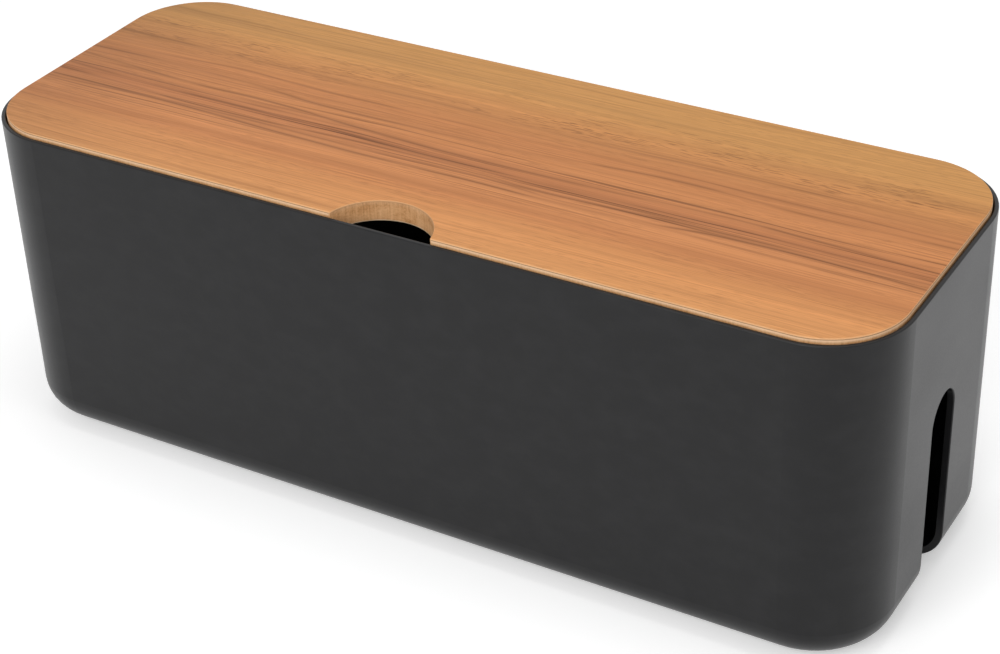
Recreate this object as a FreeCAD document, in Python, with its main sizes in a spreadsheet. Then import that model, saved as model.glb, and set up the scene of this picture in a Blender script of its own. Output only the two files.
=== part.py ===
import FreeCAD, Part

import math
import os

import Sketcher
from FreeCAD import Vector

# Cable management box: a moulded tub with a lift-off board lid, in millimetres.
# X runs along the box, Y from the front to the rear, Z up. The origin is the middle of the
# footprint, on the surface that the four feet stand on. The finger notch is at the front, -Y.

doc = FreeCAD.newDocument("cable_box")

# Driving dimensions
driving_dimensions = [
    ("box_length", 400.0, "outer length of the tub at its rim"),
    ("box_width", 145.0, "outer width of the tub at its rim"),
    ("tub_height", 142.0, "from the underside of the tub to its rim"),
    ("wall_lean", 0.6, "how far each wall leans in from the rim to the underside"),
    ("rim_corner", 34.0, "plan radius of the tub's corners at the rim"),
    ("base_round", 15.0, "radius from the walls into the underside"),
    ("wall_thickness", 2.8, "thickness of the walls below the lid's seat"),
    ("floor_thickness", 3.0, "thickness of the tub's floor"),
    ("rim_thickness", 1.8, "thickness of the thinner wall around the lid"),
    ("rim_round", 0.5, "radius on both edges of the rim"),
    ("lid_clearance", 0.6, "gap between the lid and the rim, all round"),
    ("lid_proud", 2.0, "how far the lid stands above the rim"),
    ("core_thickness", 7.8, "thickness of the lid's fibreboard core"),
    ("laminate_thickness", 0.6, "thickness of each laminate on the core"),
    ("laminate_round", 0.4, "radius on the outer edge of each laminate"),
    ("notch_radius", 22.5, "radius of the finger notch in the lid"),
    ("notch_offset", 3.8, "from the lid's front edge out to the notch's centre"),
    ("notch_corner", 0.5, "radius where the notch meets the lid's front edge"),
    ("slot_width", 22.5, "width of the cord slot in each end wall"),
    ("slot_top", 88.0, "from the underside of the tub to the top of a cord slot"),
    ("slot_reach", 22.0, "how far a cord slot runs in from the end of the rim"),
    ("slot_arris", 0.5, "radius on the outer edge of a cord slot"),
    ("gusset_depth", 6.0, "how far a lid support reaches in from the wall"),
    ("gusset_height", 26.0, "height of a lid support"),
    ("gusset_lip", 4.0, "height of a lid support's upright front"),
    ("gusset_thickness", 2.0, "thickness of a lid support"),
    ("side_gusset_count", 4, "lid supports on each long wall"),
    ("side_gusset_pitch", 100.0, "spacing of the lid supports on a long wall"),
    ("end_gusset_count", 2, "lid supports on each end wall"),
    ("end_gusset_pitch", 60.0, "spacing of the lid supports on an end wall"),
    ("foot_radius", 7.5, "radius of a rubber foot"),
    ("foot_proud", 1.5, "how far a foot stands below the tub"),
    ("foot_recess", 1.0, "how deep a foot sits in the underside"),
    ("foot_clearance", 0.15, "gap around a foot in its recess"),
    ("foot_edge", 0.5, "radius on a foot's lower edge"),
    ("foot_inset", 32.0, "from the rim's end and side in to a foot's centre"),
]
sheet = doc.addObject("Spreadsheet::Sheet", "Sizes")
for row, (alias, value, meaning) in enumerate(driving_dimensions, start=1):
    sheet.set(f"A{row}", meaning)
    sheet.set(f"B{row}", str(value))
    sheet.setAlias(f"B{row}", alias)
doc.recompute()

# How far a cut runs on past the face that it opens
overrun = 5.0
# Two points closer than this are the same point
tolerance = 0.001
# The most of a corner or a thickness that one fillet takes, and that each of two takes
one_fillet = 0.75
two_fillets = 0.45
# The smallest radius that is left where a formula gives less
least_round = 0.5

# Sizes that several features share, as formulas on the sheet
seat_depth = "(Sizes.core_thickness + 2 * Sizes.laminate_thickness - Sizes.lid_proud)"
seat_level = f"(Sizes.tub_height - {seat_depth})"
lid_inset = "(Sizes.rim_thickness + Sizes.lid_clearance)"
lid_underside = f"(Sizes.foot_proud + {seat_level})"
base_fillet = f"min(Sizes.base_round; {one_fillet} * (Sizes.rim_corner - Sizes.wall_lean))"

# Each foot's name, and its side of the box along X and Y
foot_places = [
    ("foot_front_left", -1, -1),
    ("foot_front_right", 1, -1),
    ("foot_rear_left", -1, 1),
    ("foot_rear_right", 1, 1),
]


def size(alias):
    return float(getattr(sheet, alias))


def plane(body, role):
    """One of the body's own origin planes."""
    return next(feature for feature in body.Origin.OriginFeatures if feature.Role == role)


def new_body(label, level):
    """An empty body whose own origin is at a level above the ground."""
    body = doc.addObject("PartDesign::Body", label)
    body.Label = label
    body.setExpression("Placement.Base.z", level)
    return body


def new_sketch(body, name, role, level="0"):
    """An empty sketch parallel to an origin plane of the body, at a level along its normal."""
    sketch = body.newObject("Sketcher::SketchObject", name)
    sketch.AttachmentSupport = [(plane(body, role), "")]
    sketch.MapMode = "FlatFace"
    sketch.setExpression("AttachmentOffset.Base.z", level)
    return sketch


def new_feature(body, kind, name, formulas=None, **settings):
    """A feature on the body's tip, with plain settings and with formulas on the sheet."""
    feature = body.newObject("PartDesign::" + kind, name)
    for setting, value in settings.items():
        setattr(feature, setting, value)
    for setting, formula in (formulas or {}).items():
        feature.setExpression(setting, formula)
    doc.recompute()
    body.Tip = feature
    return feature


def new_fillet(body, name, radius, chosen):
    """A fillet on the edges of the body's tip that a test on the edge's middle chooses."""
    tip = body.Tip
    edges = []
    for number, edge in enumerate(tip.Shape.Edges, start=1):
        middle = edge.valueAt((edge.FirstParameter + edge.LastParameter) / 2)
        if chosen(edge, middle):
            edges.append(f"Edge{number}")
    return new_feature(body, "Fillet", name, {"Radius": radius}, Base=(tip, edges))


def near(first, second):
    return abs(first - second) < tolerance


def dimension(sketch, formula, *constraint):
    """A dimension that follows a formula on the sheet."""
    index = sketch.addConstraint(Sketcher.Constraint(*constraint))
    sketch.setExpression(f"Constraints[{index}]", formula)


def inset_outline(sketch, inset):
    """The rim's rounded rectangle, moved in by a formula, drawn near its size and dimensioned."""
    half_x = size("box_length") / 2
    half_y = size("box_width") / 2
    radius = size("rim_corner")
    flat_x = half_x - radius
    flat_y = half_y - radius
    side_ends = [
        (Vector(-flat_x, -half_y), Vector(flat_x, -half_y)),
        (Vector(half_x, -flat_y), Vector(half_x, flat_y)),
        (Vector(flat_x, half_y), Vector(-flat_x, half_y)),
        (Vector(-half_x, flat_y), Vector(-half_x, -flat_y)),
    ]
    arc_centres = [
        Vector(flat_x, -flat_y),
        Vector(flat_x, flat_y),
        Vector(-flat_x, flat_y),
        Vector(-flat_x, -flat_y),
    ]
    sides = [sketch.addGeometry(Part.LineSegment(*ends), False) for ends in side_ends]
    arcs = []
    for quarter, centre in enumerate(arc_centres):
        start = (quarter - 1) * math.pi / 2
        full_circle = Part.Circle(centre, Vector(0, 0, 1), radius)
        arc = Part.ArcOfCircle(full_circle, start, start + math.pi / 2)
        arcs.append(sketch.addGeometry(arc, False))
    for quarter in range(4):
        following = sides[(quarter + 1) % 4]
        sketch.addConstraint(Sketcher.Constraint("Tangent", sides[quarter], 2, arcs[quarter], 1))
        sketch.addConstraint(Sketcher.Constraint("Tangent", arcs[quarter], 2, following, 1))
    for side in (sides[0], sides[2]):
        sketch.addConstraint(Sketcher.Constraint("Horizontal", side))
    for side in (sides[1], sides[3]):
        sketch.addConstraint(Sketcher.Constraint("Vertical", side))
    for arc in arcs[1:]:
        sketch.addConstraint(Sketcher.Constraint("Equal", arcs[0], arc))
    sketch.addConstraint(Sketcher.Constraint("Symmetric", arcs[0], 3, arcs[2], 3, -1, 1))
    length = f"Sizes.box_length - 2 * ({inset})"
    width = f"Sizes.box_width - 2 * ({inset})"
    dimension(sketch, length, "DistanceX", sides[3], 1, sides[1], 1, 2 * half_x)
    dimension(sketch, width, "DistanceY", sides[0], 1, sides[2], 1, 2 * half_y)
    dimension(sketch, f"Sizes.rim_corner - ({inset})", "Radius", arcs[0], radius)


def circle(sketch, radius, out_x=None, out_y=None, sign_x=1, sign_y=1):
    """A circle at the sketch's origin, or moved out along an axis by a formula."""
    centre = Vector(sign_x if out_x else 0, sign_y if out_y else 0)
    index = sketch.addGeometry(Part.Circle(centre, Vector(0, 0, 1), 1.0), False)
    dimension(sketch, radius, "Radius", index, 1.0)
    for kind, formula, sign, axis in (
        ("DistanceX", out_x, sign_x, -2),
        ("DistanceY", out_y, sign_y, -1),
    ):
        if formula is None:
            sketch.addConstraint(Sketcher.Constraint("PointOnObject", index, 3, axis))
        elif sign > 0:
            dimension(sketch, formula, kind, -1, 1, index, 3, 1.0)
        else:
            dimension(sketch, formula, kind, index, 3, -1, 1, 1.0)


def arch(sketch, width, top):
    """A round-topped slot about the sketch's vertical axis that runs down past the origin."""
    half = size("slot_width") / 2
    spring = size("slot_top") - half
    half_circle = Part.ArcOfCircle(Part.Circle(Vector(0, spring), Vector(0, 0, 1), half), 0, math.pi)
    arc = sketch.addGeometry(half_circle, False)
    left, bottom, right = [
        sketch.addGeometry(Part.LineSegment(start, end), False)
        for start, end in (
            (Vector(-half, spring), Vector(-half, -overrun)),
            (Vector(-half, -overrun), Vector(half, -overrun)),
            (Vector(half, -overrun), Vector(half, spring)),
        )
    ]
    sketch.addConstraint(Sketcher.Constraint("Tangent", right, 2, arc, 1))
    sketch.addConstraint(Sketcher.Constraint("Tangent", arc, 2, left, 1))
    sketch.addConstraint(Sketcher.Constraint("Coincident", left, 2, bottom, 1))
    sketch.addConstraint(Sketcher.Constraint("Coincident", bottom, 2, right, 1))
    sketch.addConstraint(Sketcher.Constraint("Horizontal", bottom))
    sketch.addConstraint(Sketcher.Constraint("Vertical", left))
    sketch.addConstraint(Sketcher.Constraint("Vertical", right))
    sketch.addConstraint(Sketcher.Constraint("PointOnObject", arc, 3, -2))
    sketch.addConstraint(Sketcher.Constraint("DistanceY", bottom, 1, -1, 1, overrun))
    dimension(sketch, f"{width} / 2", "Radius", arc, half)
    dimension(sketch, f"{top} - {width} / 2", "DistanceY", -1, 1, arc, 3, spring)


def gusset(sketch, side, half_span):
    """The outline of one lid support, rooted in the middle of the wall on one side."""
    root = f"{half_span} - Sizes.wall_thickness / 2"
    depth = "Sizes.gusset_depth + Sizes.wall_thickness / 2"
    points = [Vector(side * 4, 3), Vector(side * 2, 3), Vector(side * 2, 2), Vector(side * 4, 1)]
    top, lip, slope, back = [
        sketch.addGeometry(Part.LineSegment(points[i], points[(i + 1) % 4]), False) for i in range(4)
    ]
    for first, second in ((top, lip), (lip, slope), (slope, back), (back, top)):
        sketch.addConstraint(Sketcher.Constraint("Coincident", first, 2, second, 1))
    sketch.addConstraint(Sketcher.Constraint("Horizontal", top))
    sketch.addConstraint(Sketcher.Constraint("Vertical", lip))
    sketch.addConstraint(Sketcher.Constraint("Vertical", back))
    dimension(sketch, seat_level, "DistanceY", -1, 1, top, 1, 3.0)
    dimension(sketch, "Sizes.gusset_lip", "DistanceY", lip, 2, lip, 1, 1.0)
    dimension(sketch, "Sizes.gusset_height", "DistanceY", back, 1, back, 2, 2.0)
    if side > 0:
        dimension(sketch, root, "DistanceX", -1, 1, top, 1, 4.0)
        dimension(sketch, depth, "DistanceX", top, 2, top, 1, 2.0)
    else:
        dimension(sketch, root, "DistanceX", top, 1, -1, 1, 4.0)
        dimension(sketch, depth, "DistanceX", top, 1, top, 2, 2.0)


def add_gussets(body, name, role, half_span, count, pitch):
    """Lid supports on two facing walls, in rows along the normal of the sketch."""
    sketch = new_sketch(body, name + "_outlines", role, f"-({count} - 1) * {pitch} / 2")
    for side in (-1, 1):
        gusset(sketch, side, half_span)
    thickness = {"Length": "Sizes.gusset_thickness"}
    pair = new_feature(body, "Pad", name + "_pair", thickness, Profile=sketch, Midplane=True)
    new_feature(
        body,
        "LinearPattern",
        name + "_row",
        {"Offset": pitch, "Occurrences": count},
        Originals=[pair],
        Direction=(sketch, ["N_Axis"]),
        Mode="Spacing",
    )


def leaning_block(body, name, inset, underside, inset_there, round_there):
    """A block from the rim down to an underside, smaller there, with its lower edge rounded."""
    rim_outline = new_sketch(body, name + "_rim_outline", "XY_Plane", "Sizes.tub_height")
    inset_outline(rim_outline, inset)
    base_outline = new_sketch(body, name + "_base_outline", "XY_Plane", underside)
    inset_outline(base_outline, inset_there)
    sections = {"Profile": rim_outline, "Sections": [base_outline]}
    block = new_feature(body, "AdditiveLoft", name + "_block", Ruled=True, **sections)
    level = block.Shape.BoundBox.ZMin
    return new_fillet(
        body, name + "_rounding", round_there, lambda edge, middle: near(middle.z, level)
    )


def make_tub():
    """The moulded tub: leaning walls, round base, lid seat, cord slots and foot recesses."""
    body = new_body("tub", "Sizes.foot_proud")
    outside = leaning_block(body, "outside", "0", "0", "Sizes.wall_lean", base_fillet)
    skin = outside.Shape.Shells[0].copy()

    mould_core = new_body("mould_core", "0")
    lean_at_floor = "Sizes.wall_lean * (1 - Sizes.floor_thickness / Sizes.tub_height)"
    leaning_block(
        mould_core,
        "inside",
        "Sizes.wall_thickness",
        "Sizes.floor_thickness",
        f"Sizes.wall_thickness + {lean_at_floor}",
        f"max({base_fillet} - Sizes.wall_thickness; {least_round})",
    )
    new_feature(body, "Boolean", "cavity", Type="Cut", Group=[mould_core])

    seat_outline = new_sketch(body, "seat_outline", "XY_Plane", "Sizes.tub_height")
    inset_outline(seat_outline, "Sizes.rim_thickness")
    new_feature(body, "Pocket", "lid_seat", {"Length": seat_depth}, Profile=seat_outline)

    add_gussets(
        body,
        "side_gusset",
        "YZ_Plane",
        "Sizes.box_width / 2",
        "Sizes.side_gusset_count",
        "Sizes.side_gusset_pitch",
    )
    add_gussets(
        body,
        "end_gusset",
        "XZ_Plane",
        "Sizes.box_length / 2",
        "Sizes.end_gusset_count",
        "Sizes.end_gusset_pitch",
    )

    recess_circles = new_sketch(body, "foot_recess_circles", "XY_Plane")
    for _, sign_x, sign_y in foot_places:
        circle(
            recess_circles,
            "Sizes.foot_radius + Sizes.foot_clearance",
            "Sizes.box_length / 2 - Sizes.foot_inset",
            "Sizes.box_width / 2 - Sizes.foot_inset",
            sign_x,
            sign_y,
        )
    new_feature(
        body,
        "Pocket",
        "foot_recesses",
        {"Length": "Sizes.foot_recess"},
        Profile=recess_circles,
        Reversed=True,
    )

    slot_start = "Sizes.box_length / 2 - Sizes.slot_reach"
    slot_outline = new_sketch(body, "slot_outline", "YZ_Plane", slot_start)
    arch(slot_outline, "Sizes.slot_width", "Sizes.slot_top")
    slot = new_feature(
        body,
        "Pocket",
        "cord_slot_right",
        {"Length": f"Sizes.slot_reach + {overrun}"},
        Profile=slot_outline,
        Reversed=True,
    )
    new_feature(
        body, "Mirrored", "cord_slot_left", Originals=[slot], MirrorPlane=(plane(body, "YZ_Plane"), [""])
    )
    half_slot = size("slot_width") / 2

    def on_slot_mouth(edge, middle):
        beside_slot = abs(middle.y) < half_slot + tolerance
        short = edge.BoundBox.YLength < size("slot_width") + tolerance
        point = Part.Vertex(middle)
        return beside_slot and short and skin.distToShape(point)[0] < tolerance

    new_fillet(body, "slot_arris", "Sizes.slot_arris", on_slot_mouth)
    new_fillet(
        body,
        "rim_rounding",
        f"min(Sizes.rim_round; {two_fillets} * Sizes.rim_thickness)",
        lambda edge, middle: near(middle.z, size("tub_height")),
    )
    return body


def lid_layer(label, level, thickness, rounded_level=None):
    """One layer of the lid board, with the finger notch in its front edge."""
    body = new_body(label, level)
    outline = new_sketch(body, label + "_outline", "XY_Plane")
    inset_outline(outline, lid_inset)
    new_feature(body, "Pad", label + "_board", {"Length": thickness}, Profile=outline)

    notch_circle = new_sketch(body, label + "_notch_circle", "XY_Plane")
    front_edge = f"Sizes.box_width / 2 - {lid_inset}"
    circle(
        notch_circle, "Sizes.notch_radius", out_y=f"{front_edge} + Sizes.notch_offset", sign_y=-1
    )
    new_feature(
        body,
        "Pocket",
        label + "_notch",
        {"Length": f"{thickness} + {overrun}"},
        Profile=notch_circle,
        Reversed=True,
    )

    def at_notch_corner(edge, middle):
        upright = edge.BoundBox.ZLength > max(edge.BoundBox.XLength, edge.BoundBox.YLength)
        return upright and abs(middle.x) < size("notch_radius") + tolerance

    new_fillet(body, label + "_notch_corners", "Sizes.notch_corner", at_notch_corner)
    if rounded_level is not None:
        new_fillet(
            body,
            label + "_edge",
            f"min(Sizes.laminate_round; {one_fillet} * Sizes.laminate_thickness)",
            lambda edge, middle: near(middle.z, rounded_level),
        )
    return body


def make_foot(label, sign_x, sign_y):
    """One round rubber foot, glued into its recess in the underside."""
    body = new_body(label, "0")
    body.setExpression("Placement.Base.x", f"{sign_x} * (Sizes.box_length / 2 - Sizes.foot_inset)")
    body.setExpression("Placement.Base.y", f"{sign_y} * (Sizes.box_width / 2 - Sizes.foot_inset)")
    outline = new_sketch(body, label + "_outline", "XY_Plane")
    circle(outline, "Sizes.foot_radius")
    height = {"Length": "Sizes.foot_proud + Sizes.foot_recess"}
    new_feature(body, "Pad", label + "_disc", height, Profile=outline)
    new_fillet(
        body,
        label + "_edge",
        f"min(Sizes.foot_edge; {one_fillet} * Sizes.foot_proud)",
        lambda edge, middle: near(middle.z, 0),
    )
    return body


pieces = [make_tub()]
pieces.append(lid_layer("lid_bottom_laminate", lid_underside, "Sizes.laminate_thickness", 0))
pieces.append(
    lid_layer("lid_core", f"{lid_underside} + Sizes.laminate_thickness", "Sizes.core_thickness")
)
pieces.append(
    lid_layer(
        "lid_top_laminate",
        f"{lid_underside} + Sizes.laminate_thickness + Sizes.core_thickness",
        "Sizes.laminate_thickness",
        size("laminate_thickness"),
    )
)
for label, sign_x, sign_y in foot_places:
    pieces.append(make_foot(label, sign_x, sign_y))
doc.recompute()

# Nothing is written unless every feature was made and every piece is one sound solid.
faults = []
for item in doc.Objects:
    if "Invalid" in item.State or "Error" in item.State:
        faults.append(f"{item.Name} was not made")
for piece in pieces:
    shape = piece.Shape
    if shape.isNull() or not shape.isValid() or len(shape.Solids) != 1:
        faults.append(f"{piece.Label} is not one sound solid")
if faults:
    raise RuntimeError("; ".join(faults))

os.makedirs("parts", exist_ok=True)
for piece in pieces:
    piece.Shape.exportStep(f"parts/{piece.Label}.step")
    box = piece.Shape.optimalBoundingBox(False)
    print(
        f"{piece.Label}: {piece.Shape.Volume / 1000:.2f} cm3,",
        f"{box.XLength:.1f} x {box.YLength:.1f} x {box.ZLength:.1f} mm",
    )
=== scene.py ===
import bpy
import math
from mathutils import Matrix, Vector


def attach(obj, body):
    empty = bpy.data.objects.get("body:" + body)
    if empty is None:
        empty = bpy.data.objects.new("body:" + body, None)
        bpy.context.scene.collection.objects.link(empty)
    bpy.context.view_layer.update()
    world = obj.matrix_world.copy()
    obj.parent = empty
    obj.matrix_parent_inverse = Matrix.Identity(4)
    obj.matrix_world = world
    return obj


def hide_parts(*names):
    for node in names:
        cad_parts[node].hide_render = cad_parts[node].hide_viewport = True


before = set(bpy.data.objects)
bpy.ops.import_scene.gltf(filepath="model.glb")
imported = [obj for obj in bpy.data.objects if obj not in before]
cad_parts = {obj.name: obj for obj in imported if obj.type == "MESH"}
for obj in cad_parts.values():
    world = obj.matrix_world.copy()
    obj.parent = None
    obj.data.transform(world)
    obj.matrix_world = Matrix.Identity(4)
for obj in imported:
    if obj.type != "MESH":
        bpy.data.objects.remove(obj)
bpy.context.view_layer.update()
print("packed model loaded")

mm = 0.001


# an sRGB hex value as the linear colour that a node wants
def linear(hexValue):
    parts = [int(hexValue[i:i + 2], 16) / 255 for i in (1, 3, 5)]
    return [p / 12.92 if p <= 0.04045 else ((p + 0.055) / 1.055) ** 2.4 for p in parts] + [1.0]


# adds a node: settings are its own properties or its inputs' values,
# links feed its inputs from a node's first output or from a socket
def addNode(tree, kind, settings=None, links=None):
    node = tree.nodes.new(kind)
    for name, value in (settings or {}).items():
        if name == "stops":
            stops = node.color_ramp.elements
            while len(stops) < len(value):
                stops.new(0.5)
            for stop, (position, colour) in zip(stops, value):
                stop.position, stop.color = position, linear(colour)
        elif name == "path":
            points = node.mapping.curves[0].points
            while len(points) < len(value):
                points.new(0.5, 0.5)
            for point, position in zip(points, value):
                point.location = position
            node.mapping.update()
        elif isinstance(name, str) and hasattr(node, name):
            setattr(node, name, value)
        else:
            node.inputs[name].default_value = value
    for name, source in (links or {}).items():
        if isinstance(source, bpy.types.Node):
            source = source.outputs[0]
        tree.links.new(source, node.inputs[name])
    return node


# The camera stands where the photograph was taken from.
cameraView = {
    "azimuth": 31.33,  # degrees round the object from its front
    "elevation": 32.19,
    "roll": -2.36,
    "distance": 926.7,  # mm from the point it aims at
    "aim": (15.73, -12.3, 72.5),  # mm
    "lens": 82.35,  # mm
    "sensorWidth": 36,  # mm
    "clip": (0.05, 50),  # metres
}

turn, rise, tilt = (math.radians(cameraView[name]) for name in ("azimuth", "elevation", "roll"))
back = Vector((math.sin(turn) * math.cos(rise), -math.cos(turn) * math.cos(rise), math.sin(rise)))
level = Vector((math.cos(turn), math.sin(turn), 0))
upright = back.cross(level)
right = level * math.cos(tilt) + upright * math.sin(tilt)
up = upright * math.cos(tilt) - level * math.sin(tilt)
cameraData = bpy.data.cameras.new("camera")
cameraData.lens = cameraView["lens"]
cameraData.sensor_width = cameraView["sensorWidth"]
cameraData.clip_start, cameraData.clip_end = cameraView["clip"]
camera = bpy.data.objects.new("camera", cameraData)
bpy.context.collection.objects.link(camera)
place = Vector(cameraView["aim"]) * mm + back * cameraView["distance"] * mm
camera.matrix_world = Matrix.Translation(place) @ Matrix((right, up, back)).transposed().to_4x4()
bpy.context.scene.camera = camera
bpy.context.scene.view_settings.view_transform = "Standard"
print("camera placed")


# A white sweep of paper, with three softboxes.
studio = {
    "floorColour": "#f7f7f7",
    "floorSize": 8.0,  # metres
    "floorDrop": 0.1,  # mm under the feet, so that no faces share a plane
    "floorLift": 0.32,  # what is added where the floor is seen, so that it shows white
    "airStrength": 0.5,
    "lamps": {  # place, point it faces, width and height in metres, watts
        "topSoftbox": ((0.08, 0.05, 0.85), (0.08, 0, 0.1), 0.5, 0.5, 1.75),
        "frontSoftbox": ((0.1, -1.3, 0.9), (0, 0, 0.1), 1.1, 0.8, 12.5),
        "endSoftbox": ((1.25, 0.2, 0.6), (0.1, 0, 0.07), 0.9, 0.8, 1.4),
    },
}

for name, (spot, target, width, height, watts) in studio["lamps"].items():
    lampData = bpy.data.lights.new(name, "AREA")
    lampData.shape = "RECTANGLE"
    lampData.size, lampData.size_y, lampData.energy = width, height, watts
    lamp = bpy.data.objects.new(name, lampData)
    lamp.location = spot
    facing = Vector(target) - Vector(spot)
    lamp.rotation_euler = facing.to_track_quat("-Z", "Y").to_euler()
    bpy.context.collection.objects.link(lamp)

half = studio["floorSize"] / 2
drop = -studio["floorDrop"] * mm
corners = [(-half, -half, drop), (half, -half, drop), (half, half, drop), (-half, half, drop)]
floorMesh = bpy.data.meshes.new("studioFloor")
floorMesh.from_pydata(corners, [], [(0, 1, 2, 3)])
floor = bpy.data.objects.new("studioFloor", floorMesh)
bpy.context.collection.objects.link(floor)
paper = bpy.data.materials.new("whitePaperSweep")
world = bpy.data.worlds.new("studioAir")
bpy.context.scene.world = world
for owner in (paper, world):
    owner.use_nodes = True
    tree = owner.node_tree
    tree.nodes.clear()
    ray = addNode(tree, "ShaderNodeLightPath")
    seen = ray.outputs["Is Camera Ray"]
    for other in ("Is Glossy Ray", "Is Transmission Ray"):
        seen = addNode(tree, "ShaderNodeMath", {"operation": "MAXIMUM"},
                       {0: seen, 1: ray.outputs[other]})
    if owner == world:
        strength = addNode(tree, "ShaderNodeMapRange",
                           {"To Min": studio["airStrength"], "To Max": 1.0}, {0: seen})
        glow = addNode(tree, "ShaderNodeBackground", {"Color": (1, 1, 1, 1)},
                       {"Strength": strength})
        addNode(tree, "ShaderNodeOutputWorld", None, {"Surface": glow})
    else:
        matt = addNode(tree, "ShaderNodeBsdfDiffuse", {"Color": linear(studio["floorColour"])})
        strength = addNode(tree, "ShaderNodeMath",
                           {"operation": "MULTIPLY", 1: studio["floorLift"]}, {0: seen})
        glow = addNode(tree, "ShaderNodeEmission", None, {"Strength": strength})
        lifted = addNode(tree, "ShaderNodeAddShader", None, {0: matt, 1: glow})
        addNode(tree, "ShaderNodeOutputMaterial", None, {"Surface": lifted})
floorMesh.materials.append(paper)
print("studio lit")

noiseFrom, noiseTo = 0.3, 0.7  # the levels that most of a grain's noise lies between


# starts a material: its tree, its shader, the place on the piece in mm, and its grains, from a
# table with each one's size in mm along X, Y and Z, its seed, its detail and its roughness
def newMaterial(name, grains, settings):
    material = bpy.data.materials.new(name)
    material.use_nodes = True
    tree = material.node_tree
    tree.nodes.clear()
    shader = addNode(tree, "ShaderNodeBsdfPrincipled", settings)
    addNode(tree, "ShaderNodeOutputMaterial", None, {"Surface": shader})
    spot = addNode(tree, "ShaderNodeTexCoord").outputs["Object"]
    spot = addNode(tree, "ShaderNodeVectorMath", {"operation": "SCALE", "Scale": 1 / mm},
                   {0: spot})
    grown = {}
    for label, (size, seed, detail, roughness) in grains.items():
        scaled = addNode(tree, "ShaderNodeVectorMath",
                         {"operation": "MULTIPLY_ADD", 1: [1 / length for length in size],
                          2: (seed, seed * 1.7, seed * 0.6)}, {0: spot})
        grown[label] = addNode(tree, "ShaderNodeTexNoise",
                               {"Scale": 1.0, "Detail": detail, "Roughness": roughness},
                               {"Vector": scaled})
    return material, tree, shader, spot, grown


# Injection-moulded polypropylene, dyed black right through, from a spark-eroded mould: an even
# satin black, a touch greyer where it was handled, with a skin too fine to cast shadows.
satinPlastic = {
    "skin": [(0.42, "#171718"), (0.75, "#1e1e1f")],  # level of the handling, colour
    "roughness": 0.35,
    "slowGloss": 0.025,  # how far the roughness drifts
    "fineGloss": 0.02,
    "specular": 0.22,
    "bump": 0.01,  # mm
    "grains": {
        "spark": ((0.8, 0.8, 0.8), 5.0, 3.0, 0.6),  # really about 0.1 mm, too fine to show
        "flow": ((70.0, 70.0, 40.0), 2.0, 2.0, 0.5),
        "handling": ((14.0, 14.0, 9.0), 9.0, 4.0, 0.7),
    },
}
plastic, tree, shader, _, grain = newMaterial(
    "mouldedSatinPolypropylene", satinPlastic["grains"],
    {"Specular IOR Level": satinPlastic["specular"]})
colour = addNode(tree, "ShaderNodeValToRGB", {"stops": satinPlastic["skin"]},
                 {0: grain["handling"]})
middle, swing = satinPlastic["roughness"], satinPlastic["slowGloss"]
slow = addNode(tree, "ShaderNodeMapRange",
               {"From Min": noiseFrom, "From Max": noiseTo, "To Min": middle - swing,
                "To Max": middle + swing}, {0: grain["flow"]})
swing = satinPlastic["fineGloss"]
fine = addNode(tree, "ShaderNodeMapRange",
               {"From Min": noiseFrom, "From Max": noiseTo, "To Min": -swing, "To Max": swing},
               {0: grain["spark"]})
gloss = addNode(tree, "ShaderNodeMath", {"operation": "ADD"}, {0: slow, 1: fine})
relief = addNode(tree, "ShaderNodeBump", {"Distance": satinPlastic["bump"] * mm},
                 {"Height": grain["spark"]})
tree.links.new(colour.outputs[0], shader.inputs["Base Color"])
tree.links.new(gloss.outputs[0], shader.inputs["Roughness"])
tree.links.new(relief.outputs[0], shader.inputs["Normal"])
print("plastic mixed")


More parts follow.
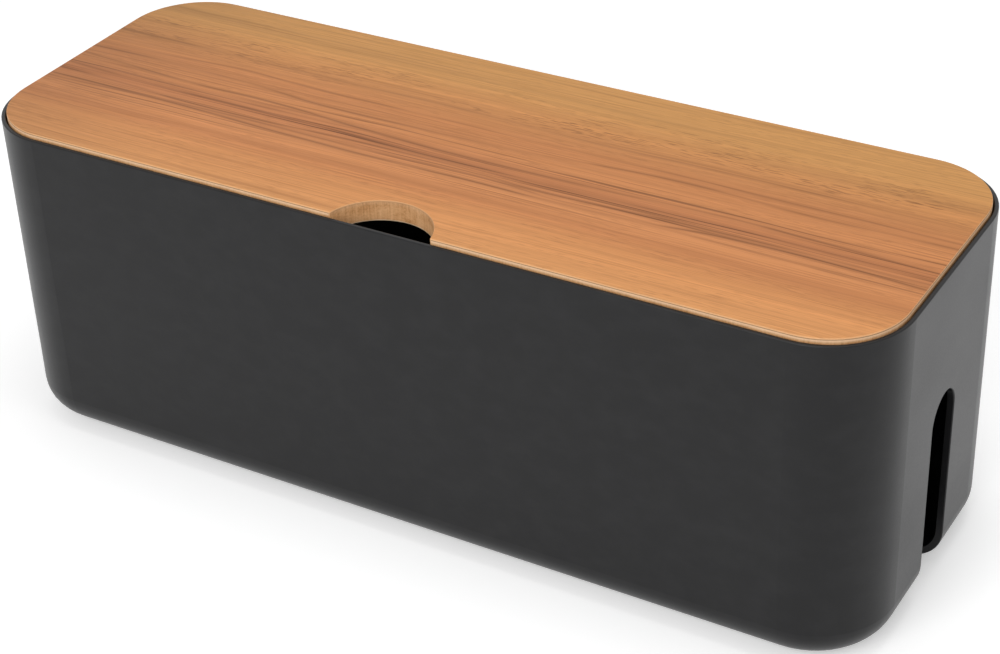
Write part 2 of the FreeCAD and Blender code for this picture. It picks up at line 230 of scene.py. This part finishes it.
# Walnut print under a clear melamine skin, pressed on the board: warm tan, grain along the
# length, dark wavy growth lines in a band along the middle, short pores, and a pale arris,
# partly rubbed wear and partly painted highlight.
walnutPrint = {
    "span": (-200.0, 200.0, -75.0, 75.0),  # mm that the colours and lines below are laid over
    "across": [  # mm from the middle towards the rear, colour
        (-75, "#d4955c"), (-48, "#cd8b54"), (-38, "#c5814e"), (-29, "#cf8a55"), (-13, "#ba7748"),
        (-2, "#c5824e"), (12, "#bf7d4a"), (33, "#c5874e"), (50, "#c89052"), (75, "#c48e50"),
    ],
    "shadedLeftEnd": (-206.0, -105.0, 0.83),  # painted shade of the light falling off towards the left end: mm from where to where it grows lighter, its start
    "streak": "#4c2503",
    "arris": "#e0b285",
    "edgeWearAndHighlight": 0.7,  # how much of the arris colour is on the very edge, partly wear and partly painted highlight
    "levels": (145.30, 145.48),  # mm, where the arris is pale and where it is printed
    "roughness": 0.46,
    "glossSwing": 0.05,
    "specular": 0.17,
    "bump": 0.015,  # mm
    "wander": 1.3,  # mm to each side
    "wave": 0.45,
    "bends": {
        "wander": ((260.0, 40.0, 50.0), 3.0, 1.0, 0.5),
        "wave": ((60.0, 20.0, 50.0), 23.0, 1.0, 0.5),
    },
    "bendNoise": (0.25, 0.75),  # the levels of noise that bend it all the way to each side
    "grains": {
        "zone": ((700.0, 9.0, 9.0), 7.0, 2.0, 0.5),
        "layer": ((330.0, 3.0, 9.0), 11.0, 2.0, 0.6),
        "line": ((150.0, 1.15, 9.0), 31.0, 2.0, 0.6),
        "fibre": ((30.0, 0.65, 3.0), 5.0, 2.0, 0.65),
        "pore": ((6.5, 0.6, 3.0), 13.0, 1.0, 0.5),
        "poreZone": ((40.0, 7.0, 9.0), 17.0, 1.0, 0.5),
        "gaps": ((60.0, 7.0, 9.0), 29.0, 2.0, 0.5),
    },
    "shades": {  # how much each grain darkens and lightens
        "zone": (0.94, 1.05),
        "layer": (0.91, 1.06),
        "line": (0.92, 1.06),
        "fibre": (0.92, 1.07),
    },
    "bands": {  # mm to a band's middle, mm of its half width, strength in it and elsewhere
        "fineLines": (-14.0, 24.0, 0.85, 0.3),
        "pores": (35.0, 18.0, 0.55, 0.2),
    },
    "lineNoise": (0.48, 0.7),  # where a fine line begins and where it is full
    "gapNoise": (0.36, 0.58, 0.4),  # a gap, a whole line, and what is left of it in a gap
    "poreNoise": (0.52, 0.66),
    "poreZoneNoise": (0.38, 0.6, 0.25),  # few pores, many, and how few
    "core": 2.5,  # how sharply a growth line's core stands out of its soft skirt
    "growthLines": [  # half width in mm, depth, path as (x, y) in mm
        (2.8, 0.5, [(-200, 28.0), (-79, 25.6), (0, 24.6), (50, 23.4), (121, 23.5),
                    (200, 22.6)]),
        (2.6, 0.5, [(-200, 14.6), (-163, 14.1), (-120, 16.2), (-97, 14.4), (-57, 13.9),
                    (50, 13.8), (200, 12.0)]),
        (2.6, 0.55, [(-200, 9.0), (-120, 7.2), (-71, 3.0), (0, 3.2), (90, 9.4), (140, 7.6),
                     (200, 8.2)]),
        (2.4, 0.6, [(-200, 2.0), (-133, -3.0), (-97, -2.8), (-43, -7.6), (60, -8.6),
                    (100, -7.3), (200, -9.8)]),
        (3.2, 0.72, [(-200, -9.0), (-164, -11.2), (-86, -12.6), (-24, -14.1), (69, -14.8),
                     (114, -13.9), (200, -15.0)]),
        (2.4, 0.65, [(-200, -15.4), (-160, -16.6), (-128, -19.3), (0, -17.4), (36, -20.9),
                     (107, -19.0), (200, -18.2)]),
        (2.6, 0.66, [(-200, -21.3), (-154, -21.8), (-57, -25.4), (14, -26.0), (86, -25.6),
                     (119, -21.4), (200, -22.8)]),
        (2.2, 0.5, [(-200, -24.2), (-100, -21.2), (-40, -21.8), (20, -21.6), (60, -25.4),
                    (140, -26.8), (200, -27.6)]),
        (7.0, 0.14, [(-200, -13.0), (-60, -12.5), (60, -13.5), (120, -14.0), (200, -15.0)]),
        (7.0, 0.16, [(-200, -37.5), (0, -36.0), (200, -38.5)]),
        (4.5, 0.13, [(-200, 56.5), (-90, 54.0), (40, 51.5), (200, 55.5)]),
    ],
}
wood, tree, shader, spot, bends = newMaterial(
    "printedWalnutLaminate", walnutPrint["bends"],
    {"Specular IOR Level": walnutPrint["specular"]})
leftEnd, rightEnd, frontEdge, rearEdge = walnutPrint["span"]
low, high = walnutPrint["bendNoise"]
alongX, moved, heightZ = addNode(tree, "ShaderNodeSeparateXYZ", None, {0: spot}).outputs
for name, bend in bends.items():
    push = walnutPrint[name]
    shift = addNode(tree, "ShaderNodeMapRange",
                    {"From Min": low, "From Max": high, "To Min": -push, "To Max": push,
                     "clamp": False}, {0: bend})
    moved = addNode(tree, "ShaderNodeMath", {"operation": "ADD"}, {0: moved, 1: shift})
bent = addNode(tree, "ShaderNodeCombineXYZ", None, {0: alongX, 1: moved, 2: heightZ})
grain = {}
for name, (size, seed, detail, roughness) in walnutPrint["grains"].items():
    scaled = addNode(tree, "ShaderNodeVectorMath",
                     {"operation": "MULTIPLY_ADD", 1: [1 / length for length in size],
                      2: (seed, seed * 1.7, seed * 0.6)}, {0: bent})
    grain[name] = addNode(tree, "ShaderNodeTexNoise",
                          {"Scale": 1.0, "Detail": detail, "Roughness": roughness},
                          {"Vector": scaled})

# the ground colour across the board, with painted shade darkening the left end, and darker in the
# darker layers
across = addNode(tree, "ShaderNodeMapRange", {"From Min": frontEdge, "From Max": rearEdge},
                 {0: moved})
stops = [((y - frontEdge) / (rearEdge - frontEdge), tint) for y, tint in walnutPrint["across"]]
colour = addNode(tree, "ShaderNodeValToRGB", {"stops": stops}, {0: across})
# painted shade: the print is drawn darker towards the left end, where the light falls off
start, end, darkest = walnutPrint["shadedLeftEnd"]
level = addNode(tree, "ShaderNodeMapRange",
                {"interpolation_type": "SMOOTHSTEP", "From Min": start, "From Max": end,
                 "To Min": darkest}, {0: alongX})
colour = addNode(tree, "ShaderNodeVectorMath", {"operation": "SCALE"},
                 {0: colour, "Scale": level})
for name, (darkest, lightest) in walnutPrint["shades"].items():
    level = addNode(tree, "ShaderNodeMapRange",
                    {"From Min": noiseFrom, "From Max": noiseTo, "To Min": darkest,
                     "To Max": lightest}, {0: grain[name]})
    colour = addNode(tree, "ShaderNodeVectorMath", {"operation": "SCALE"},
                     {0: colour, "Scale": level})

# how dark it is drawn over that: fine lines, growth lines and pores
bands = {}
for name, (middle, reach, inside, outside) in walnutPrint["bands"].items():
    away = addNode(tree, "ShaderNodeMath", {"operation": "SUBTRACT", 1: middle}, {0: moved})
    away = addNode(tree, "ShaderNodeMath", {"operation": "ABSOLUTE"}, {0: away})
    bands[name] = addNode(tree, "ShaderNodeMapRange",
                          {"interpolation_type": "SMOOTHSTEP", "From Max": reach,
                           "To Min": inside, "To Max": outside}, {0: away})
low, high = walnutPrint["lineNoise"]
fineLine = addNode(tree, "ShaderNodeMapRange",
                   {"interpolation_type": "SMOOTHSTEP", "From Min": low, "From Max": high},
                   {0: grain["line"]})
dark = addNode(tree, "ShaderNodeMath", {"operation": "MULTIPLY"},
               {0: fineLine, 1: bands["fineLines"]})
along = addNode(tree, "ShaderNodeMapRange", {"From Min": leftEnd, "From Max": rightEnd},
                {0: alongX})
low, high, least = walnutPrint["gapNoise"]
unbroken = addNode(tree, "ShaderNodeMapRange",
                   {"interpolation_type": "SMOOTHSTEP", "From Min": low, "From Max": high,
                    "To Min": least, "To Max": 1.0}, {0: grain["gaps"]})
for width, depth, path in walnutPrint["growthLines"]:
    unitPath = [((x - leftEnd) / (rightEnd - leftEnd), (y - frontEdge) / (rearEdge - frontEdge))
                for x, y in path]
    line = addNode(tree, "ShaderNodeFloatCurve", {"path": unitPath}, {"Value": along})
    lineY = addNode(tree, "ShaderNodeMapRange", {"To Min": frontEdge, "To Max": rearEdge},
                    {0: line})
    away = addNode(tree, "ShaderNodeMath", {"operation": "SUBTRACT"}, {0: moved, 1: lineY})
    away = addNode(tree, "ShaderNodeMath", {"operation": "ABSOLUTE"}, {0: away})
    share = addNode(tree, "ShaderNodeMapRange",
                    {"From Max": width, "To Min": 1.0, "To Max": 0.0}, {0: away})
    share = addNode(tree, "ShaderNodeMath", {"operation": "POWER", 1: walnutPrint["core"]},
                    {0: share})
    share = addNode(tree, "ShaderNodeMath", {"operation": "MULTIPLY", 1: depth}, {0: share})
    share = addNode(tree, "ShaderNodeMath", {"operation": "MULTIPLY"}, {0: share, 1: unbroken})
    dark = addNode(tree, "ShaderNodeMath", {"operation": "MAXIMUM"}, {0: dark, 1: share})
low, high = walnutPrint["poreNoise"]
pore = addNode(tree, "ShaderNodeMapRange", {"From Min": low, "From Max": high},
               {0: grain["pore"]})
low, high, least = walnutPrint["poreZoneNoise"]
poreZone = addNode(tree, "ShaderNodeMapRange",
                   {"From Min": low, "From Max": high, "To Min": least}, {0: grain["poreZone"]})
for level in (poreZone, bands["pores"]):
    pore = addNode(tree, "ShaderNodeMath", {"operation": "MULTIPLY"}, {0: pore, 1: level})
dark = addNode(tree, "ShaderNodeMath", {"operation": "MAXIMUM"}, {0: dark, 1: pore})
colour = addNode(tree, "ShaderNodeMix",
                 {"data_type": "RGBA", 7: linear(walnutPrint["streak"])}, {0: dark, 6: colour})

# the pale arris: partly rubbed wear, partly a painted highlight where the rounded edge catches the
# light
low, high = walnutPrint["levels"]
wearAndHighlight = addNode(tree, "ShaderNodeMapRange",
               {"From Min": low, "From Max": high, "To Min": walnutPrint["edgeWearAndHighlight"],
                "To Max": 0.0}, {0: heightZ})
colour = addNode(tree, "ShaderNodeMix", {"data_type": "RGBA", 7: linear(walnutPrint["arris"])},
                 {0: wearAndHighlight, 6: colour.outputs[2]})
middle, swing = walnutPrint["roughness"], walnutPrint["glossSwing"]
gloss = addNode(tree, "ShaderNodeMapRange",
                {"From Min": noiseFrom, "From Max": noiseTo, "To Min": middle + swing,
                 "To Max": middle - swing}, {0: grain["fibre"]})
relief = addNode(tree, "ShaderNodeBump", {"Distance": walnutPrint["bump"] * mm},
                 {"Height": grain["fibre"]})
tree.links.new(colour.outputs[2], shader.inputs["Base Color"])
tree.links.new(gloss.outputs[0], shader.inputs["Roughness"])
tree.links.new(relief.outputs[0], shader.inputs["Normal"])
print("wood printed")


# Medium-density fibreboard, sawn and routed and left bare: matt, pale tan, flecked with darker
# fibres, with upright marks from the cutter and a dark line of glue under the print.
fibreboard = {
    "fibres": [(0.36, "#b57f4e"), (0.48, "#d49e6a"), (0.62, "#e6b483")],  # dark fibre to fluff
    "layers": {  # colour, mm up the board where it begins and where it is full, strength
        # paler towards the top of the board's edge, and only faintly on the routed notch wall
        "paleUpperBand": ("#f6d4b0", 143.3, 144.2, 0.65),
        "glue": ("#6b4426", 144.55, 144.75, 0.8),
    },
    "notchCentre": (0.0, -73.9, 144.2),  # mm
    "notchWall": (22.7, 23.4, 0.2),  # mm round it to the routed wall, what that leaves of both
    "roughness": 0.8,
    "specular": 0.25,
    "bump": 0.06,  # mm
    "grains": {
        "fleck": ((0.9, 0.9, 0.7), 4.0, 3.0, 0.7),
        "cutter": ((0.8, 0.8, 14.0), 8.0, 2.0, 0.6),
        "cloud": ((9.0, 9.0, 5.0), 15.0, 2.0, 0.5),
    },
}
board, tree, shader, spot, grain = newMaterial(
    "bareFibreboard", fibreboard["grains"],
    {"Roughness": fibreboard["roughness"], "Specular IOR Level": fibreboard["specular"]})
mixed = addNode(tree, "ShaderNodeMath", {"operation": "ADD"},
                {0: grain["fleck"], 1: grain["cutter"]})
mixed = addNode(tree, "ShaderNodeMath", {"operation": "ADD"}, {0: mixed, 1: grain["cloud"]})
mixed = addNode(tree, "ShaderNodeMath", {"operation": "MULTIPLY", 1: 1 / len(grain)},
                {0: mixed})
colour = addNode(tree, "ShaderNodeValToRGB", {"stops": fibreboard["fibres"]}, {0: mixed})
colour = colour.outputs[0]
heightZ = addNode(tree, "ShaderNodeSeparateXYZ", None, {0: spot}).outputs[2]
outside = addNode(tree, "ShaderNodeVectorMath",
                  {"operation": "DISTANCE", 1: fibreboard["notchCentre"]}, {0: spot})
near, far, left = fibreboard["notchWall"]
outside = addNode(tree, "ShaderNodeMapRange",
                  {"From Min": near, "From Max": far, "To Min": left},
                  {0: outside.outputs["Value"]})
for tint, low, high, share in fibreboard["layers"].values():
    level = addNode(tree, "ShaderNodeMapRange",
                    {"From Min": low, "From Max": high, "To Max": share}, {0: heightZ})
    level = addNode(tree, "ShaderNodeMath", {"operation": "MULTIPLY"}, {0: level, 1: outside})
    colour = addNode(tree, "ShaderNodeMix", {"data_type": "RGBA", 7: linear(tint)},
                     {0: level, 6: colour}).outputs[2]
relief = addNode(tree, "ShaderNodeBump", {"Distance": fibreboard["bump"] * mm},
                 {"Height": mixed})
tree.links.new(colour, shader.inputs["Base Color"])
tree.links.new(relief.outputs[0], shader.inputs["Normal"])


# Kraft-backed melamine on the underside of the board: a plain cream sheet, faintly mottled
# like paper.
backingSheet = {
    "mottle": [(0.35, "#dcbd97"), (0.6, "#e8ccaa")],
    "roughness": 0.55,
    "glossSwing": 0.06,
    "specular": 0.35,
    "grains": {
        "paper": ((3.0, 3.0, 3.0), 6.0, 3.0, 0.6),
        "sheen": ((40.0, 12.0, 9.0), 12.0, 2.0, 0.5),
    },
}
backing, tree, shader, _, grain = newMaterial(
    "creamBackingLaminate", backingSheet["grains"],
    {"Specular IOR Level": backingSheet["specular"]})
colour = addNode(tree, "ShaderNodeValToRGB", {"stops": backingSheet["mottle"]},
                 {0: grain["paper"]})
middle, swing = backingSheet["roughness"], backingSheet["glossSwing"]
gloss = addNode(tree, "ShaderNodeMapRange",
                {"From Min": noiseFrom, "From Max": noiseTo, "To Min": middle - swing,
                 "To Max": middle + swing}, {0: grain["sheen"]})
tree.links.new(colour.outputs[0], shader.inputs["Base Color"])
tree.links.new(gloss.outputs[0], shader.inputs["Roughness"])


# Moulded black rubber: matt, slightly brown, with a dusty bloom.
blackRubber = {
    "dust": [(0.4, "#141313"), (0.75, "#242221")],
    "roughness": 0.72,
    "specular": 0.3,
    "bump": 0.02,  # mm
    "grains": {
        "bloom": ((2.0, 2.0, 2.0), 3.0, 4.0, 0.7),
        "skin": ((0.25, 0.25, 0.25), 10.0, 2.0, 0.6),
    },
}
rubber, tree, shader, _, grain = newMaterial(
    "mouldedBlackRubber", blackRubber["grains"],
    {"Roughness": blackRubber["roughness"], "Specular IOR Level": blackRubber["specular"]})
colour = addNode(tree, "ShaderNodeValToRGB", {"stops": blackRubber["dust"]},
                 {0: grain["bloom"]})
relief = addNode(tree, "ShaderNodeBump", {"Distance": blackRubber["bump"] * mm},
                 {"Height": grain["skin"]})
tree.links.new(colour.outputs[0], shader.inputs["Base Color"])
tree.links.new(relief.outputs[0], shader.inputs["Normal"])
print("fibreboard, backing and rubber mixed")

finishes = {"tub": plastic, "lid_core": board, "lid_top_laminate": wood,
            "lid_bottom_laminate": backing}
footNames = ("foot_front_left", "foot_front_right", "foot_rear_left", "foot_rear_right")
finishes.update({name: rubber for name in footNames})
for name, material in finishes.items():
    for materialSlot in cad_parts[name].material_slots:
        materialSlot.material = material
print("CAD nodes finished")


# starts a node tree with named inputs for its sizes in mm and its counts, and one mesh out
def newTree(name, inputs):
    tree = bpy.data.node_groups.new(name, "GeometryNodeTree")
    tree.interface.new_socket("Geometry", in_out="OUTPUT", socket_type="NodeSocketGeometry")
    for label, value in inputs.items():
        kind = "NodeSocketInt" if isinstance(value, int) else "NodeSocketFloat"
        tree.interface.new_socket(label, in_out="INPUT", socket_type=kind).default_value = value
    return tree, addNode(tree, "NodeGroupInput").outputs


# turns a node tree's result into a plain mesh in the frame, riding on a body
def makePiece(name, tree, values, body, replaced=()):
    holder = bpy.data.objects.new(name + "Tree", bpy.data.meshes.new(name + "Tree"))
    bpy.context.collection.objects.link(holder)
    modifier = holder.modifiers.new(name, "NODES")
    modifier.node_group = tree
    inputs = [item for item in tree.interface.items_tree if item.in_out == "INPUT"]
    for item in inputs:
        modifier[item.identifier] = values[item.name]
    shown = holder.evaluated_get(bpy.context.evaluated_depsgraph_get())
    mesh = bpy.data.meshes.new_from_object(shown)
    holder.modifiers.remove(modifier)
    bpy.data.objects.remove(holder)
    piece = bpy.data.objects.new(name, mesh)
    bpy.context.collection.objects.link(piece)
    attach(piece, body)
    if replaced:
        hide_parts(*replaced)


# Rubber feet: turned discs with ring grooves in the tread, one at each corner of the underside.
rubberFeet = {
    "sizes": {"Radius": 7.5, "Height": 2.5, "Edge": 0.5, "Grooves": 3.0, "Groove Depth": 0.4,
              "Length Pitch": 336.0, "Width Pitch": 81.0},
    "mesh": {"Vertices": 64, "Side Segments": 8, "Fill Segments": 24},
    "crowding": 2.0,  # how much closer the rings of points lie towards the tread
    "tread": 0.0001,  # mm, below which a point is on the tread
    "grooveWalls": (-0.2, -0.95),  # where in the ripple a groove's wall begins and ends
}
tree, given = newTree("rubberFeet", rubberFeet["sizes"])
disc = addNode(tree, "GeometryNodeMeshCylinder",
               {"fill_type": "TRIANGLE_FAN", "Radius": 1.0, "Depth": 1.0, **rubberFeet["mesh"]})
position = addNode(tree, "GeometryNodeInputPosition")
x, y, z = addNode(tree, "ShaderNodeSeparateXYZ", None, {0: position}).outputs
reach = addNode(tree, "ShaderNodeMath", {"operation": "MULTIPLY"}, {0: x, 1: x})
reach = addNode(tree, "ShaderNodeMath", {"operation": "MULTIPLY_ADD"}, {0: y, 1: y, 2: reach})
reach = addNode(tree, "ShaderNodeMath", {"operation": "SQRT"}, {0: reach})
rise = addNode(tree, "ShaderNodeMath", {"operation": "ADD", 1: 0.5}, {0: z})
rise = addNode(tree, "ShaderNodeMath", {"operation": "POWER", 1: rubberFeet["crowding"]},
               {0: rise})
rise = addNode(tree, "ShaderNodeMath", {"operation": "MULTIPLY"}, {0: rise, 1: given["Height"]})

# the side draws in along a quarter circle where it meets the tread
below = addNode(tree, "ShaderNodeMath", {"operation": "SUBTRACT"}, {0: given["Edge"], 1: rise})
below = addNode(tree, "ShaderNodeMath", {"operation": "MAXIMUM", 1: 0.0}, {0: below})
chord = addNode(tree, "ShaderNodeMath", {"operation": "MULTIPLY"}, {0: below, 1: below})
edgeSquared = addNode(tree, "ShaderNodeMath", {"operation": "MULTIPLY"},
                      {0: given["Edge"], 1: given["Edge"]})
chord = addNode(tree, "ShaderNodeMath", {"operation": "SUBTRACT"}, {0: edgeSquared, 1: chord})
chord = addNode(tree, "ShaderNodeMath", {"operation": "SQRT"}, {0: chord})
inset = addNode(tree, "ShaderNodeMath", {"operation": "SUBTRACT"}, {0: given["Edge"], 1: chord})
outer = addNode(tree, "ShaderNodeMath", {"operation": "SUBTRACT"},
                {0: given["Radius"], 1: inset})

# ring grooves, only in the tread
ring = addNode(tree, "ShaderNodeMath", {"operation": "MULTIPLY"},
               {0: reach, 1: given["Grooves"]})
ring = addNode(tree, "ShaderNodeMath", {"operation": "MULTIPLY", 1: 2 * math.pi}, {0: ring})
ring = addNode(tree, "ShaderNodeMath", {"operation": "COSINE"}, {0: ring})
start, end = rubberFeet["grooveWalls"]
ring = addNode(tree, "ShaderNodeMapRange",
               {"interpolation_type": "SMOOTHSTEP", "From Min": start, "From Max": end},
               {0: ring})
tread = addNode(tree, "ShaderNodeMath", {"operation": "LESS_THAN", 1: rubberFeet["tread"]},
                {0: rise})
ring = addNode(tree, "ShaderNodeMath", {"operation": "MULTIPLY"}, {0: ring, 1: tread})
lifted = addNode(tree, "ShaderNodeMath", {"operation": "MULTIPLY_ADD"},
                 {0: ring, 1: given["Groove Depth"], 2: rise})
shaped = [addNode(tree, "ShaderNodeMath", {"operation": "MULTIPLY"}, {0: axis, 1: outer})
          for axis in (x, y)]
shaped = addNode(tree, "ShaderNodeCombineXYZ", None, {0: shaped[0], 1: shaped[1], 2: lifted})
shaped = addNode(tree, "ShaderNodeVectorMath", {"operation": "SCALE", "Scale": mm}, {0: shaped})
foot = addNode(tree, "GeometryNodeSetPosition", None, {"Geometry": disc, "Position": shaped})
pitches = [addNode(tree, "ShaderNodeMath", {"operation": "MULTIPLY", 1: mm}, {0: given[label]})
           for label in ("Length Pitch", "Width Pitch")]
corners = addNode(tree, "GeometryNodeMeshGrid", {"Vertices X": 2, "Vertices Y": 2},
                  {"Size X": pitches[0], "Size Y": pitches[1]})
placed = addNode(tree, "GeometryNodeInstanceOnPoints", None, {"Points": corners, "Instance": foot})
real = addNode(tree, "GeometryNodeRealizeInstances", None, {0: placed})
coated = addNode(tree, "GeometryNodeSetMaterial", {"Material": rubber}, {0: real})
addNode(tree, "NodeGroupOutput", None, {0: coated})
makePiece("rubberFeet", tree, rubberFeet["sizes"], "box", footNames)
print("feet turned")


# Witness marks of the mould's ejector pins: faint round steps on the floor inside the tub.
pinMarks = {
    "sizes": {"Radius": 4.0, "Height": 0.12, "Level": 4.5, "Columns": 4, "Rows": 2,
              "Length Pitch": 96.0, "Width Pitch": 72.0},
    "mesh": {"Vertices": 40},
}
tree, given = newTree("pinMarks", pinMarks["sizes"])
disc = addNode(tree, "GeometryNodeMeshCylinder",
               {"fill_type": "NGON", "Radius": 1.0, "Depth": 1.0, **pinMarks["mesh"]})
size = addNode(tree, "ShaderNodeCombineXYZ", None,
               {0: given["Radius"], 1: given["Radius"], 2: given["Height"]})
size = addNode(tree, "ShaderNodeVectorMath", {"operation": "SCALE", "Scale": mm}, {0: size})
disc = addNode(tree, "GeometryNodeTransform", None, {"Geometry": disc, "Scale": size})
spans = []
for count, pitch in (("Columns", "Length Pitch"), ("Rows", "Width Pitch")):
    gaps = addNode(tree, "ShaderNodeMath", {"operation": "SUBTRACT", 1: 1.0}, {0: given[count]})
    gaps = addNode(tree, "ShaderNodeMath", {"operation": "MULTIPLY"}, {0: gaps, 1: given[pitch]})
    spans.append(addNode(tree, "ShaderNodeMath", {"operation": "MULTIPLY", 1: mm}, {0: gaps}))
points = addNode(tree, "GeometryNodeMeshGrid", None,
                 {"Size X": spans[0], "Size Y": spans[1],
                  "Vertices X": given["Columns"], "Vertices Y": given["Rows"]})
placed = addNode(tree, "GeometryNodeInstanceOnPoints", None, {"Points": points, "Instance": disc})
height = addNode(tree, "ShaderNodeMath", {"operation": "MULTIPLY", 1: mm}, {0: given["Level"]})
height = addNode(tree, "ShaderNodeCombineXYZ", None, {2: height})
placed = addNode(tree, "GeometryNodeTransform", None, {"Geometry": placed, "Translation": height})
real = addNode(tree, "GeometryNodeRealizeInstances", None, {0: placed})
coated = addNode(tree, "GeometryNodeSetMaterial", {"Material": plastic}, {0: real})
addNode(tree, "NodeGroupOutput", None, {0: coated})
makePiece("pinMarks", tree, pinMarks["sizes"], "box")
print("pin marks placed")
